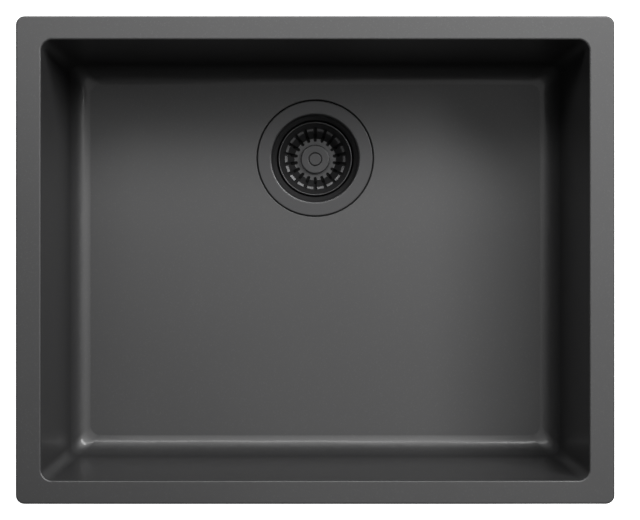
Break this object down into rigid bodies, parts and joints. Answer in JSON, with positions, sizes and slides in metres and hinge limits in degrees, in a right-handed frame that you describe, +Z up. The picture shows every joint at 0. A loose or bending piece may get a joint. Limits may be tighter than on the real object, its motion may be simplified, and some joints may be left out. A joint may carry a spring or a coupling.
{
  "type": "kitchen sink",
  "caption": "Rectangular single-bowl kitchen sink in matt black stone composite with a black basket strainer waste set in the floor near the back wall.",
  "frame": {"origin": "centre of the rim's flat top face, the plane that meets the underside of the worktop", "axes": "+Z up out of the bowl, +X to the right along the long side, +Y to the back, where the waste is"},
  "size_m": [0.54, 0.44, 0.293],
  "materials": {
    "stone_composite": "matt, very fine grain",
    "black_steel": "satin black coating",
    "soft_rubber": "matt",
    "black_plastic": "moulded, matt",
    "plain_brass": "turned",
    "plain_steel": "turned"
  },
  "bodies": {
    "sink": {"sink_bowl": "stone_composite", "strainer_cup": "black_steel", "flange_gasket": "soft_rubber", "under_gasket": "soft_rubber", "waste_body": "black_plastic", "clamp_nut": "plain_brass", "bolt_washer": "plain_steel", "hollow_bolt": "plain_steel"},
    "grip_ring": {"post_o_ring": "soft_rubber"},
    "basket_plug": {"basket": "black_steel", "knob": "black_steel", "knob_cap": "black_steel", "knob_screw": "plain_steel", "stopper": "soft_rubber", "stopper_retainer": "black_plastic", "plug_post": "plain_steel"}
  },
  "joints": [
    {"name": "plug_lift", "type": "slide", "parent": "sink", "child": "grip_ring", "axis": [0, 0, 1], "range_m": [0, 0.27]},
    {"name": "plug_turn", "type": "hinge", "parent": "grip_ring", "child": "basket_plug", "pos_m": [0, 0.10002, -0.25], "axis": [0, 0, 1], "continuous": true}
  ]
}
